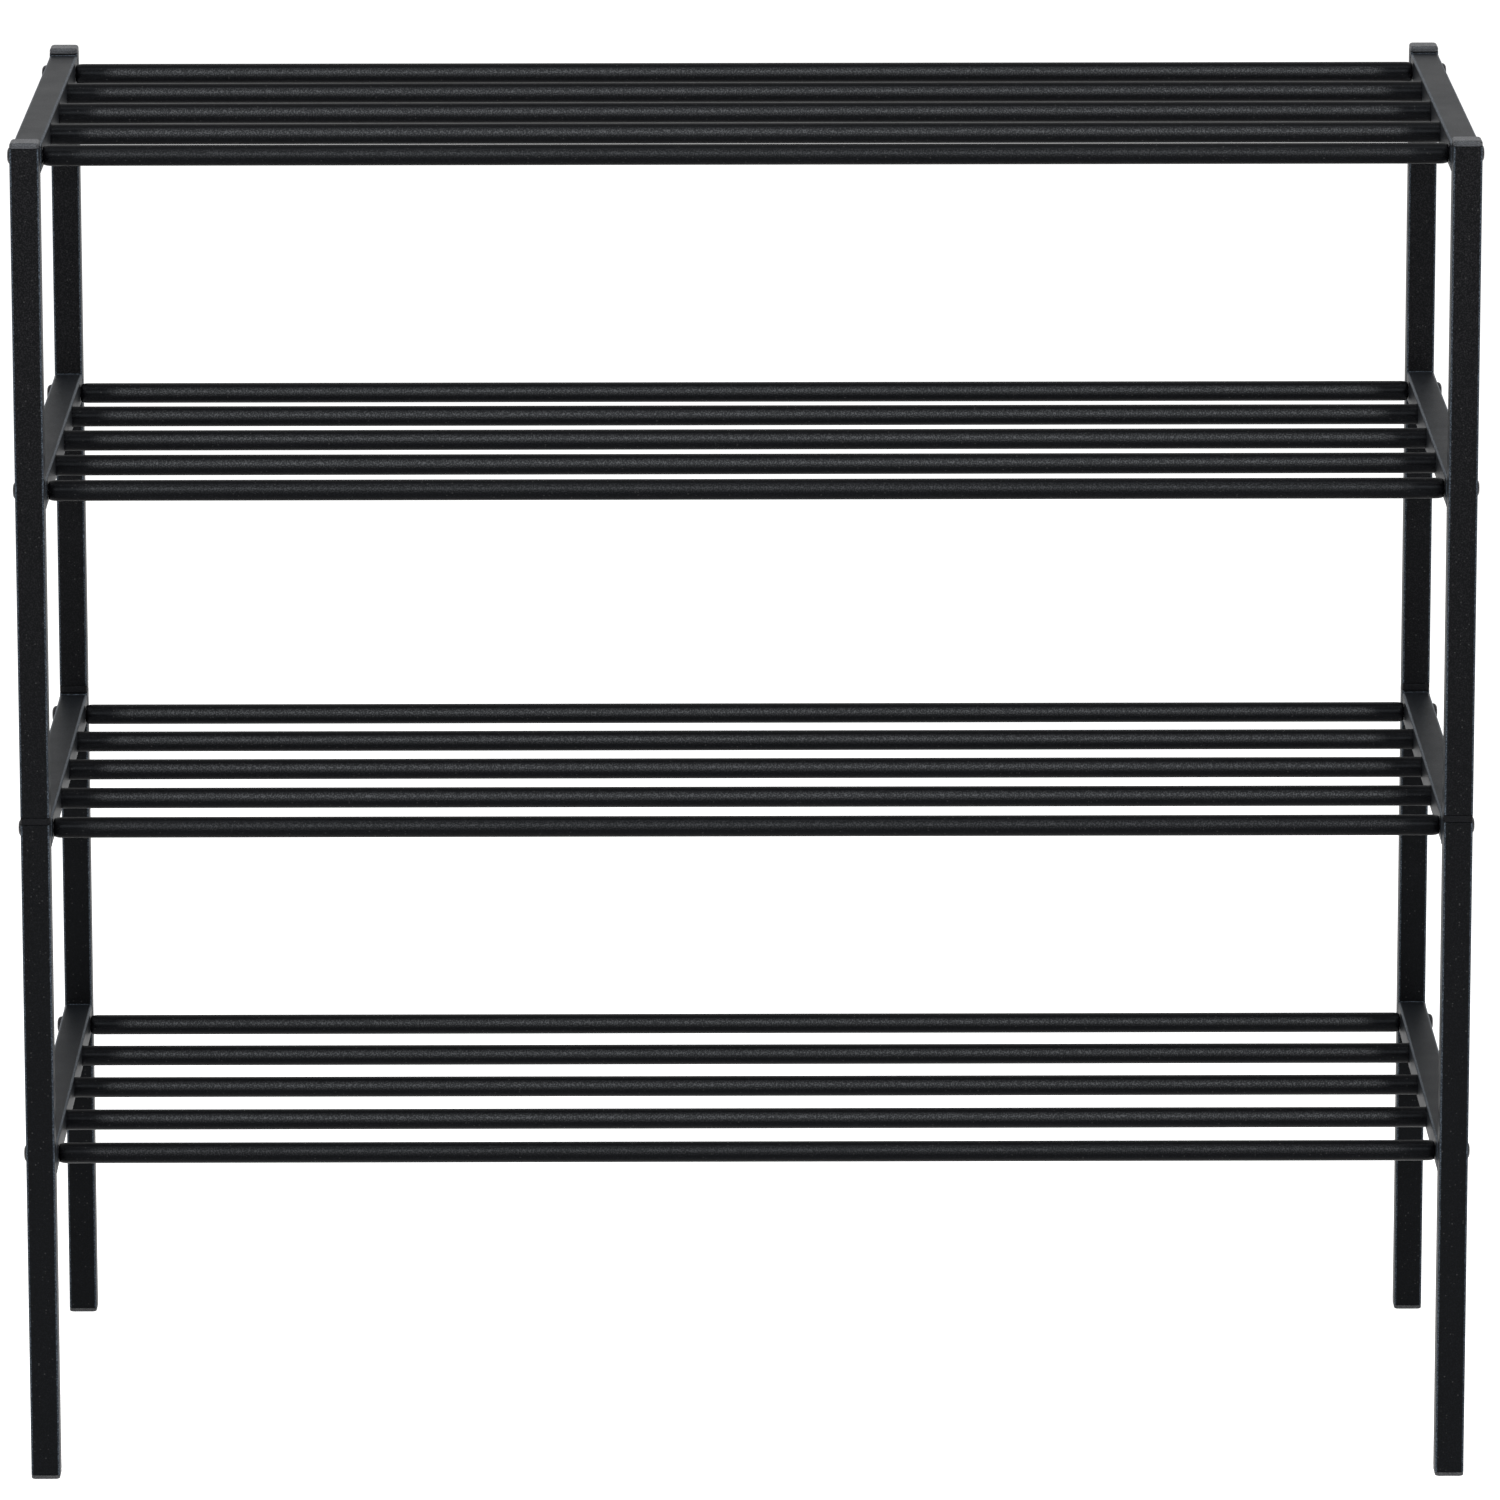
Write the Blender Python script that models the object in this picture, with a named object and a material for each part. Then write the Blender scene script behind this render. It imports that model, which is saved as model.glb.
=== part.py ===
"""Four-tier shoe rack: stacked square-tube side frames joined by round rods.

Metres, +Z up.  X runs along the rods, the front faces -Y and the floor is Z = 0.
Every side frame is two posts and two rails.  The lower and the upper pair of
frames are alike and stack on plastic couplers.
"""

import math

import bmesh
import bpy
from mathutils import Matrix

MM = 0.001

# Overall layout
WIDTH = 750 * MM                # over the outer faces of the posts
DEPTH = 325 * MM                # over the front and rear faces of the posts
CLEARANCE = 0.3 * MM            # between two pieces that touch on the real rack

# Square tube of the posts and rails
TUBE = 15 * MM
TUBE_WALL = 1.0 * MM
TUBE_CORNER = 1.5 * MM          # outer corner radius
POST_LENGTH = 349.5 * MM        # one section
TIER_SPACING = 175 * MM         # between the two rails of a section
POST_STUB = 0.8 * MM            # end of a post above its upper rail
WELD_DEPTH = 0.5 * MM           # how far a rail's end fuses into the post's wall

# Rods
ROD_DIAMETER = 10.8 * MM
ROD_WALL = 1.0 * MM
RODS_PER_TIER = 5
ROD_SETBACK = 30.5 * MM         # post face to the axis of the nearest rod
ROD_END_LENGTH = 4 * MM         # over which a bolted end closes in
ROD_END_DROP = 1.2 * MM         # how much it closes in all round
SLEEVE_LENGTH = 18 * MM         # tapped sleeve pressed into a bolted end

# Button-head bolts
BOLT_DIAMETER = 5 * MM
BOLT_LENGTH = 30 * MM           # under the head
BOLT_HEAD_DIAMETER = 9.5 * MM
BOLT_HEAD_HEIGHT = 2.75 * MM
BOLT_HEAD_RIM = 0.5 * MM        # straight edge below the dome
BOLT_HEAD_FLAT = 4.6 * MM       # diameter of the flat on top
SOCKET_ACROSS_FLATS = 3 * MM
SOCKET_DEPTH = 1.6 * MM

# Plastic caps, feet and couplers
CAP_HEIGHT = 2.8 * MM
CAP_EDGE = 1.5 * MM             # radius of the top edge of a cap
FOOT_HEIGHT = 2 * MM
FOOT_EDGE = 0.7 * MM            # radius of the bottom edge of a foot
COUPLER_FLANGE = 3.5 * MM
PLASTIC_CORNER = 2.4 * MM       # radius of the upright corners
CAP_PLUG = 12 * MM              # reach into the tube
PLUG_LEAD_IN = 0.7 * MM         # bevel at a plug's tip
COUPLER_PLUG = 28 * MM          # reach into each of the two tubes

# Facets
CORNER_STEPS = 3
EDGE_STEPS = 2
ROD_END_STEPS = 3
ROD_SIDES = 16
BOLT_SIDES = 12
DOME_STEPS = 2
SHARP_ANGLE = 40                # degrees; shallower edges are shaded smooth
CUTTER_OVERRUN = 2 * MM

SIDES = {"left": -1, "right": 1}
ENDS = {"front": -1, "rear": 1}

# Sizes and places worked out from the ones above
POST_X = (WIDTH - TUBE) / 2
POST_Y = (DEPTH - TUBE) / 2
RAIL_INNER_X = WIDTH / 2 - TUBE
TUBE_BORE = TUBE - 2 * TUBE_WALL
BORE_CORNER = max(TUBE_CORNER - TUBE_WALL, 0.1 * MM)
PLUG = TUBE_BORE - 2 * CLEARANCE
BOLT_HOLE = BOLT_DIAMETER + 2 * CLEARANCE
ROD_HOLE = ROD_DIAMETER + 2 * CLEARANCE
ROD_PITCH = (DEPTH - 2 * ROD_SETBACK) / (RODS_PER_TIER - 1)
ROD_YS = [ROD_SETBACK - DEPTH / 2 + i * ROD_PITCH for i in range(RODS_PER_TIER)]
BOLTED_YS = (ROD_YS[0], ROD_YS[-1])
PLUGGED_YS = ROD_YS[1:-1]
UPPER_RAIL_AXIS = POST_LENGTH - POST_STUB - TUBE / 2
RAIL_AXES = (UPPER_RAIL_AXIS - TIER_SPACING, UPPER_RAIL_AXIS)
LOWER_SECTION_Z = FOOT_HEIGHT + CLEARANCE
UPPER_SECTION_Z = LOWER_SECTION_Z + POST_LENGTH + COUPLER_FLANGE + 2 * CLEARANCE
SECTION_BOTTOMS = {"lower": LOWER_SECTION_Z, "upper": UPPER_SECTION_Z}
POSTS_TOP = UPPER_SECTION_Z + POST_LENGTH
TIER_HEIGHTS = [bottom + axis for bottom in SECTION_BOTTOMS.values() for axis in RAIL_AXES]


def clear_scene():
    """Remove every object of the opened file."""
    for obj in list(bpy.data.objects):
        bpy.data.objects.remove(obj, do_unlink=True)


def make_material(name, colour, roughness, metallic):
    """Principled material of one plain colour."""
    material = bpy.data.materials.new(name)
    material.use_nodes = True
    shader = material.node_tree.nodes["Principled BSDF"]
    shader.inputs["Base Color"].default_value = (*colour, 1.0)
    shader.inputs["Roughness"].default_value = roughness
    shader.inputs["Metallic"].default_value = metallic
    material.diffuse_color = (*colour, 1.0)
    return material


def rounded_square(side, radius, z):
    """Points of a square with round corners at height z."""
    points = []
    centre = side / 2 - radius
    for corner in range(4):
        start = corner * math.pi / 2
        cx = centre * (1 if corner in (0, 3) else -1)
        cy = centre * (1 if corner in (0, 1) else -1)
        for step in range(CORNER_STEPS + 1):
            angle = start + step * math.pi / 2 / CORNER_STEPS
            points.append((cx + radius * math.cos(angle), cy + radius * math.sin(angle), z))
    return points


def circle(radius, z, sides):
    """Points of a circle at height z."""
    turns = [2 * math.pi * i / sides for i in range(sides)]
    return [(radius * math.cos(a), radius * math.sin(a), z) for a in turns]


def hexagon(across_flats, z, sides):
    """Points of a hexagon at height z, spread over its edges."""
    points = []
    for i in range(sides):
        angle = 2 * math.pi * i / sides
        from_flat = (angle + math.pi / 6) % (math.pi / 3) - math.pi / 6
        radius = across_flats / 2 / math.cos(from_flat)
        points.append((radius * math.cos(angle), radius * math.sin(angle), z))
    return points


def loft(rings, bored=False):
    """Skin a row of rings; a bored solid joins the last ring to the first."""
    bm = bmesh.new()
    loops = [[bm.verts.new(point) for point in ring] for ring in rings]
    pairs = list(zip(loops, loops[1:]))
    if bored:
        pairs.append((loops[-1], loops[0]))
    else:
        bm.faces.new(loops[0])
        bm.faces.new(loops[-1])
    for low, high in pairs:
        for i in range(len(low)):
            j = (i + 1) % len(low)
            bm.faces.new((low[i], low[j], high[j], high[i]))
    bmesh.ops.recalc_face_normals(bm, faces=bm.faces)
    return bm


def to_mesh(name, parts, smooth_angle=None):
    """Join bmesh parts, each with its own placing, into one mesh."""
    mesh = bpy.data.meshes.new(name)
    joined = bmesh.new()
    for bm, placing in parts:
        piece = bpy.data.meshes.new("piece")
        bm.to_mesh(piece)
        bm.free()
        piece.transform(placing)
        joined.from_mesh(piece)
        bpy.data.meshes.remove(piece)
    joined.to_mesh(mesh)
    joined.free()
    if smooth_angle is not None:
        mesh.shade_smooth()
        mesh.set_sharp_from_angle(angle=math.radians(smooth_angle))
    return mesh


def add_object(name, mesh, location, material):
    """Place a mesh as a named sub-part with a material."""
    obj = bpy.data.objects.new(name, mesh)
    bpy.context.collection.objects.link(obj)
    obj.location = location
    if material is not None:
        if not obj.material_slots:
            mesh.materials.append(None)
        obj.material_slots[0].link = "OBJECT"
        obj.material_slots[0].material = material
    return obj


def along_x(direction, x=0.0, y=0.0, z=0.0):
    """Placing that turns a shape's +Z to +X or -X and moves it."""
    return Matrix.Translation((x, y, z)) @ Matrix.Rotation(direction * math.pi / 2, 4, "Y")


def square_tube(length):
    """Hollow square tube that stands on Z = 0."""
    rings = [
        rounded_square(TUBE, TUBE_CORNER, 0),
        rounded_square(TUBE, TUBE_CORNER, length),
        rounded_square(TUBE_BORE, BORE_CORNER, length),
        rounded_square(TUBE_BORE, BORE_CORNER, 0),
    ]
    return loft(rings, bored=True)


def rounded_head(height, edge, sign):
    """Rings of a plastic head that leaves Z = 0 and ends in a rounded edge."""
    rings = [rounded_square(TUBE, PLASTIC_CORNER, 0)]
    for step in range(EDGE_STEPS + 1):
        angle = step * math.pi / 2 / EDGE_STEPS
        inset = edge * (1 - math.cos(angle))
        z = height - edge * (1 - math.sin(angle))
        rings.append(rounded_square(TUBE - 2 * inset, PLASTIC_CORNER - inset, sign * z))
    return rings


def plug_rings(reach, sign):
    """Rings of a plug that leaves Z = 0, with a small lead-in at its tip."""
    return [
        rounded_square(PLUG, BORE_CORNER, 0),
        rounded_square(PLUG, BORE_CORNER, sign * (reach - PLUG_LEAD_IN)),
        rounded_square(PLUG - 2 * PLUG_LEAD_IN, BORE_CORNER, sign * reach),
    ]


def drilled_holes():
    """Holes of both rails: bolts through both walls, plugged rods through the inner one."""
    bolt_reach = TUBE / 2 + CUTTER_OVERRUN
    bolt_rings = [circle(BOLT_HOLE / 2, z, BOLT_SIDES) for z in (-bolt_reach, bolt_reach)]
    rod_rings = [circle(ROD_HOLE / 2, z, ROD_SIDES) for z in (0, TUBE / 2 + CUTTER_OVERRUN)]
    holes = []
    for z in RAIL_AXES:
        holes += [(loft(bolt_rings), along_x(1, 0, y, z)) for y in BOLTED_YS]
        holes += [(loft(rod_rings), along_x(1, 0, y, z)) for y in PLUGGED_YS]
    return holes


def helper(name, parts):
    """Object that only cuts or adds to another one."""
    obj = add_object(name, to_mesh(name, parts), (0, 0, 0), None)
    obj.hide_render = True
    obj.display_type = "WIRE"
    return obj


def welded_frame_mesh():
    """Two posts with two rails welded between them, the rod holes facing +X."""
    posts = []
    for sy in ENDS.values():
        posts.append((square_tube(POST_LENGTH), Matrix.Translation((0, sy * POST_Y, 0))))
    rails = []
    rail_length = DEPTH - 2 * TUBE + 2 * WELD_DEPTH
    lay_down = Matrix.Rotation(math.pi / 2, 4, "X")
    for z in RAIL_AXES:
        placing = Matrix.Translation((0, rail_length / 2, z)) @ lay_down
        rails.append((square_tube(rail_length), placing))
    frame = add_object("frame", to_mesh("posts", posts), (0, 0, 0), None)
    helpers = [helper("rails", rails), helper("holes", drilled_holes())]
    for operand, operation in zip(helpers, ("UNION", "DIFFERENCE")):
        boolean = frame.modifiers.new(operand.name, "BOOLEAN")
        boolean.operation = operation
        boolean.solver = "EXACT"
        boolean.object = operand
    evaluated = frame.evaluated_get(bpy.context.evaluated_depsgraph_get())
    mesh = bpy.data.meshes.new_from_object(evaluated)
    mesh.name = "side_frame"
    mesh.shade_smooth()
    mesh.set_sharp_from_angle(angle=math.radians(SHARP_ANGLE))
    for obj in [frame, *helpers]:
        bpy.data.objects.remove(obj, do_unlink=True)
    return mesh


def add_frames(material):
    """Four alike side frames; the right ones are turned half a turn."""
    mesh = welded_frame_mesh()
    for section, bottom in SECTION_BOTTOMS.items():
        for side, sx in SIDES.items():
            place = (sx * POST_X, 0, bottom)
            frame = add_object(f"{section}_{side}_frame", mesh, place, material)
            frame.rotation_euler.z = math.pi * (sx + 1) / 2


def bolted_rod_solid():
    """Outer rod: tube that closes in at its ends, with a tapped sleeve in each."""
    half = RAIL_INNER_X - CLEARANCE
    radius = ROD_DIAMETER / 2
    side = []
    for step in range(ROD_END_STEPS + 1):
        angle = step * math.pi / 2 / ROD_END_STEPS
        along = half - ROD_END_LENGTH * (1 - math.sin(angle))
        side.append((along, radius - ROD_END_DROP * (1 - math.cos(angle))))
    bore = [
        (half, BOLT_HOLE / 2),
        (half - SLEEVE_LENGTH, BOLT_HOLE / 2),
        (half - SLEEVE_LENGTH, radius - ROD_WALL),
    ]
    outside = [(-z, r) for z, r in side[::-1]] + side
    inside = bore + [(-z, r) for z, r in bore[::-1]]
    return loft([circle(r, z, ROD_SIDES) for z, r in outside + inside], bored=True)


def plugged_rod_solid():
    """Inner rod: plain tube that ends inside the two rails."""
    half = WIDTH / 2 - TUBE_WALL - CLEARANCE
    radius = ROD_DIAMETER / 2
    rings = [circle(radius, z, ROD_SIDES) for z in (-half, half)]
    rings += [circle(radius - ROD_WALL, z, ROD_SIDES) for z in (half, -half)]
    return loft(rings, bored=True)


def add_rods(material):
    """Five rods for every tier, numbered from the front."""
    bolted_mesh = to_mesh("bolted_rod", [(bolted_rod_solid(), along_x(1))], SHARP_ANGLE)
    plugged_mesh = to_mesh("plugged_rod", [(plugged_rod_solid(), along_x(1))], SHARP_ANGLE)
    for tier, z in enumerate(TIER_HEIGHTS, start=1):
        for number, y in enumerate(ROD_YS, start=1):
            mesh = bolted_mesh if y in BOLTED_YS else plugged_mesh
            add_object(f"tier_{tier}_rod_{number}", mesh, (0, y, z), material)


def bolt_solid():
    """Button-head socket bolt with the underside of its head on Z = 0."""
    shank = BOLT_DIAMETER / 2
    head = BOLT_HEAD_DIAMETER / 2
    flat = BOLT_HEAD_FLAT / 2
    rings = [circle(shank, z, BOLT_SIDES) for z in (-BOLT_LENGTH, 0)]
    rings.append(circle(head, 0, BOLT_SIDES))
    for step in range(DOME_STEPS + 1):
        angle = step * math.pi / 2 / DOME_STEPS
        radius = flat + (head - flat) * math.cos(angle)
        z = BOLT_HEAD_RIM + (BOLT_HEAD_HEIGHT - BOLT_HEAD_RIM) * math.sin(angle)
        rings.append(circle(radius, z, BOLT_SIDES))
    for z in (BOLT_HEAD_HEIGHT, BOLT_HEAD_HEIGHT - SOCKET_DEPTH):
        rings.append(hexagon(SOCKET_ACROSS_FLATS, z, BOLT_SIDES))
    return loft(rings)


def add_bolts(material):
    """A bolt through the rail into each end of every outer rod."""
    mesh = to_mesh("bolt", [(bolt_solid(), Matrix.Identity(4))], SHARP_ANGLE)
    seat_x = WIDTH / 2 + CLEARANCE
    for tier, z in enumerate(TIER_HEIGHTS, start=1):
        for side, sx in SIDES.items():
            for end, y in zip(ENDS, BOLTED_YS):
                place = (sx * seat_x, y, z)
                bolt = add_object(f"tier_{tier}_{end}_{side}_bolt", mesh, place, material)
                bolt.rotation_euler.y = sx * math.pi / 2


def cap_solid(height, edge, sign):
    """Head on one side of Z = 0 and its plug on the other."""
    plug = plug_rings(CAP_PLUG + CLEARANCE, -sign)
    return loft(plug[::-1] + rounded_head(height, edge, sign))


def coupler_solid():
    """Flange that stands on Z = 0, with a plug above and one below."""
    reach = COUPLER_PLUG + CLEARANCE
    below = plug_rings(reach, -1)[::-1]
    flange = [rounded_square(TUBE, PLASTIC_CORNER, z) for z in (0, COUPLER_FLANGE)]
    above = [[(x, y, z + COUPLER_FLANGE) for x, y, z in ring] for ring in plug_rings(reach, 1)]
    return loft(below + flange + above)


def add_plastic_pieces(cap_material, foot_material, coupler_material):
    """A top cap, a coupler and a foot for each of the four posts."""
    still = Matrix.Identity(4)
    cap = to_mesh("top_cap", [(cap_solid(CAP_HEIGHT, CAP_EDGE, 1), still)], SHARP_ANGLE)
    foot = to_mesh("foot", [(cap_solid(FOOT_HEIGHT, FOOT_EDGE, -1), still)], SHARP_ANGLE)
    coupler = to_mesh("coupler", [(coupler_solid(), still)], SHARP_ANGLE)
    cap_z = POSTS_TOP + CLEARANCE
    coupler_z = LOWER_SECTION_Z + POST_LENGTH + CLEARANCE
    for side, sx in SIDES.items():
        for end, sy in ENDS.items():
            x = sx * POST_X
            y = sy * POST_Y
            add_object(f"{end}_{side}_top_cap", cap, (x, y, cap_z), cap_material)
            add_object(f"{end}_{side}_foot", foot, (x, y, FOOT_HEIGHT), foot_material)
            add_object(f"{end}_{side}_coupler", coupler, (x, y, coupler_z), coupler_material)


def build():
    """Model the whole rack."""
    clear_scene()
    add_frames(make_material("frame_powder_coat", (0.018, 0.018, 0.019), 0.42, 0.0))
    add_rods(make_material("rod_powder_coat", (0.012, 0.012, 0.012), 0.4, 0.0))
    add_bolts(make_material("black_bolt", (0.02, 0.02, 0.021), 0.25, 1.0))
    cap_material = make_material("cap_plastic", (0.03, 0.03, 0.031), 0.55, 0.0)
    foot_material = make_material("foot_plastic", (0.035, 0.035, 0.036), 0.6, 0.0)
    coupler_material = make_material("coupler_plastic", (0.025, 0.025, 0.026), 0.55, 0.0)
    add_plastic_pieces(cap_material, foot_material, coupler_material)


build()
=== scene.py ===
"""Looks of a tiered shoe rack, laid out as a Blender add-on and run as a script.

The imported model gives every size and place.  Each piece here is modelled over its
node, in metres, +Z up, the rods along X and the front facing -Y.
"""

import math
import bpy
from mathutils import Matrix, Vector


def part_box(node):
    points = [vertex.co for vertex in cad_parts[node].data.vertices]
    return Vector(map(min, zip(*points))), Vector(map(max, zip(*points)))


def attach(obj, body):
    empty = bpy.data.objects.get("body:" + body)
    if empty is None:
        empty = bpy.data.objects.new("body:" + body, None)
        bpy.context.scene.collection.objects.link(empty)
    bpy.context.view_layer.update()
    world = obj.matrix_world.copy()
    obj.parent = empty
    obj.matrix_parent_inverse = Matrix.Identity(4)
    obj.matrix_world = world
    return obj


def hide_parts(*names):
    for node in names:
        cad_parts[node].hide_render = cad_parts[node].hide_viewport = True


bl_info = {
    "name": "Tiered shoe rack",
    "version": (1, 0, 0),
    "blender": (4, 5, 0),
    "location": "3D View > Sidebar > Shoe rack",
    "description": "Models the tube frames, rods, bolts and plastic parts of a shoe rack and lights them",
    "category": "Object",
}

from dataclasses import dataclass

import bmesh
import bpy
from bpy.props import FloatProperty, FloatVectorProperty, IntProperty, PointerProperty
from mathutils import Matrix, Vector

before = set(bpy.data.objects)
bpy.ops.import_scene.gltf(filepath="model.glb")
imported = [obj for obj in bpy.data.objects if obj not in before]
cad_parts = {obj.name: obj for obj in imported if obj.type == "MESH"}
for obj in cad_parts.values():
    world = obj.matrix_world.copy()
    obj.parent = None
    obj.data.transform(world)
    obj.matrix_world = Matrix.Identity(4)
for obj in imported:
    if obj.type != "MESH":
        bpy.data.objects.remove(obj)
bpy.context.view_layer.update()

BODY = "root"
MM = 0.001
SECTIONS = ("lower", "upper")
SECTION_TIERS = (1, 2)
SIDES = {"left": -1, "right": 1}
ENDS = {"front": -1, "rear": 1}
TIERS = (1, 2, 3, 4)
RODS = (1, 2, 3, 4, 5)
BOLTED_RODS = (1, 5)

# Shapes
ALIGNED = 0.99                      # least cosine between a direction and the axis it follows
SAME_PLACE = 0.01 * MM              # two places closer than this are one
MERGE_DISTANCE = 0.002 * MM
QUARTER_STEPS = 8                   # facets of a quarter round on a rod's end or a bolt's head
ROD_BORE_MARGIN = 0.4 * MM          # least wall at the end of a bolted rod
BOLT_TIP_BEVEL = 0.6 * MM
BOLT_RIM = 0.5 * MM                 # straight edge of a bolt's head below its dome
BOLT_RIM_BEVEL = 0.15 * MM
BOLT_FLAT = 2.0 * MM                # radius of the flat on top of a bolt's head
PLASTIC_SEGMENTS = 6                # facets of a rounded edge on a cap, foot or coupler
PLUG_BEVEL = 0.6 * MM
COUPLER_EDGE = 0.35 * MM
WELD_SINK = 0.6                     # bead radii from a rail's face in to the middle of its bead
WELD_SEGMENTS = 4                   # pieces of a bead round a corner of a rail
WELD_CUTS = 2                       # cuts in each piece of a bead
WELD_RIPPLE_SIZE = 1.6 * MM
WELD_RIPPLE_LEVEL = 0.6             # noise value at which the bead stays as it is

# Coats; a scale counts the features in a metre
PEEL_SCALE = 900.0
GRAIN_SCALE = 1500.0
MOTTLE_SCALE = 45.0
SPECK_SCALE = 700.0
GRAIN_RANGE = (0.45, 0.65)          # noise values between which a grain turns light
SPECK_CHANCE = (0.86, 1.0)          # cell values between which a speck grows strong
SPECK_RADIUS = 0.28                 # as a share of its cell
ROUGHNESS_SPREAD = 0.06             # on either side of a coat's roughness
GRAIN_SHADE_HEIGHTS = (0.2, 0.65)         # metres above the floor, over which the frames' grain grows; painted shade, darker low down
GRAIN_SHADE_SHARES = (0.15, 1.0)          # of the grain, at those heights
FLATNESS = (0.9, 0.995)             # largest part of the normal, at a round corner and on a flat face
CORNER_SHEEN_SHARES = (0.8, 0.1)          # of the frames' painted sheen, at a round corner and on a flat face
PAINTED_BAND_FRONT_ZONE = (10 * MM, 30 * MM)     # behind the front rods' axis, where the painted highlight band gets its full strength; weaker in front, painted shade
BOLT_TONES = (0.7, 1.5)             # of the bolts' colour, at its darkest and lightest
BOLT_ROUGHNESS = (0.2, 0.32)
BOLT_MARK_SCALE = 900.0
BOLT_MARK_DEPTH = 0.01 * MM
FLOOR_ROUGHNESS = 0.9

# Camera
SENSOR_WIDTH = 36                   # millimetres
CLIP_END = 200                      # metres


# ---------------------------------------------------------------- places from the frame


def middle(node):
    """Centre of a node's box."""
    low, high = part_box(node)
    return (low + high) / 2


def extent(node):
    """Size of a node's box."""
    low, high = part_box(node)
    return high - low


def cad_tube_side():
    """Outer side of the square tube, read from a side frame."""
    return extent("lower_left_frame").x


def cad_rod_diameter():
    """Diameter of a plugged rod."""
    return extent("tier_1_rod_2").z


# ---------------------------------------------------------------- properties


class RackSizes(bpy.types.PropertyGroup):
    """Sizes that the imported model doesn't spell out."""

    tube_wall: FloatProperty(
        name="Tube wall", description="Wall of the square tube",
        default=1.0 * MM, unit="LENGTH", precision=5,
    )
    tube_corner: FloatProperty(
        name="Tube corner", description="Outer corner radius of the square tube",
        default=1.5 * MM, unit="LENGTH", precision=5,
    )
    clearance: FloatProperty(
        name="Clearance", description="Gap between touching pieces",
        default=0.3 * MM, unit="LENGTH", precision=5,
    )
    rod_wall: FloatProperty(
        name="Rod wall", description="Wall of the round rods", default=1.0 * MM, unit="LENGTH", precision=5
    )
    end_length: FloatProperty(
        name="End length", description="Length over which a bolted rod closes in at its end",
        default=4 * MM, unit="LENGTH", precision=5,
    )
    end_drop: FloatProperty(
        name="End drop", description="How much a bolted rod closes in all round at its end",
        default=1.2 * MM, unit="LENGTH", precision=5,
    )
    bolt_diameter: FloatProperty(
        name="Bolt diameter", description="Thread diameter", default=5 * MM, unit="LENGTH", precision=5
    )
    socket: FloatProperty(
        name="Socket", description="Socket size across flats", default=3 * MM, unit="LENGTH", precision=5
    )
    socket_depth: FloatProperty(
        name="Socket depth", description="Depth of the bolt's socket",
        default=1.6 * MM, unit="LENGTH", precision=5,
    )
    weld_radius: FloatProperty(
        name="Weld radius", description="Radius of a weld bead",
        default=0.85 * MM, unit="LENGTH", precision=5,
    )
    weld_ripple: FloatProperty(
        name="Weld ripple", description="Unevenness of a weld bead",
        default=0.5 * MM, unit="LENGTH", precision=5,
    )
    plastic_corner: FloatProperty(
        name="Plastic corner", description="Radius of the upright corners of the caps, feet and couplers",
        default=2.4 * MM, unit="LENGTH", precision=5,
    )
    cap_edge: FloatProperty(
        name="Cap edge", description="Radius of a cap's top edge",
        default=1.5 * MM, unit="LENGTH", precision=5,
    )
    foot_edge: FloatProperty(
        name="Foot edge", description="Radius of a foot's lower edge",
        default=0.6 * MM, unit="LENGTH", precision=5,
    )
    plug_reach: FloatProperty(
        name="Plug reach", description="How far the plug of a cap or foot goes in",
        default=12 * MM, unit="LENGTH", precision=5,
    )
    turned_steps: IntProperty(
        name="Turned steps", description="Facets round a turned piece", default=64, min=12
    )
    corner_steps: IntProperty(
        name="Corner steps", description="Facets round a tube's corner", default=5, min=2
    )


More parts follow.
